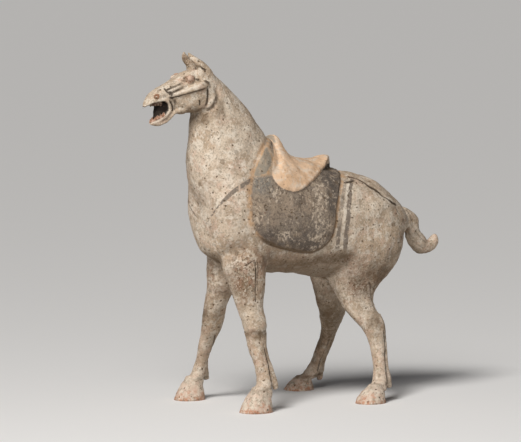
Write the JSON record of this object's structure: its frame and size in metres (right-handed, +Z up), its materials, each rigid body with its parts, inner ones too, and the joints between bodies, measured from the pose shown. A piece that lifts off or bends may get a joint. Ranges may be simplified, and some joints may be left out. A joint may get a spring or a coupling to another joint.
{
  "type": "pottery tomb horse",
  "caption": "Standing painted pottery tomb horse with open mouth, saddle, saddle cloth and curled tail, resting on its hooves.",
  "frame": {"origin": "on the ground, at the bottom centre of the figure's bounding box", "axes": "-X towards the muzzle, -Y to the horse's near (left) side, +Z up"},
  "size_m": [0.3554, 0.1553, 0.3561],
  "materials": {
    "cream_slip": "matt cream slip over buff earthenware, worn paint"
  },
  "bodies": {
    "root": {"pottery_horse": "cream_slip"}
  },
  "joints": []
}
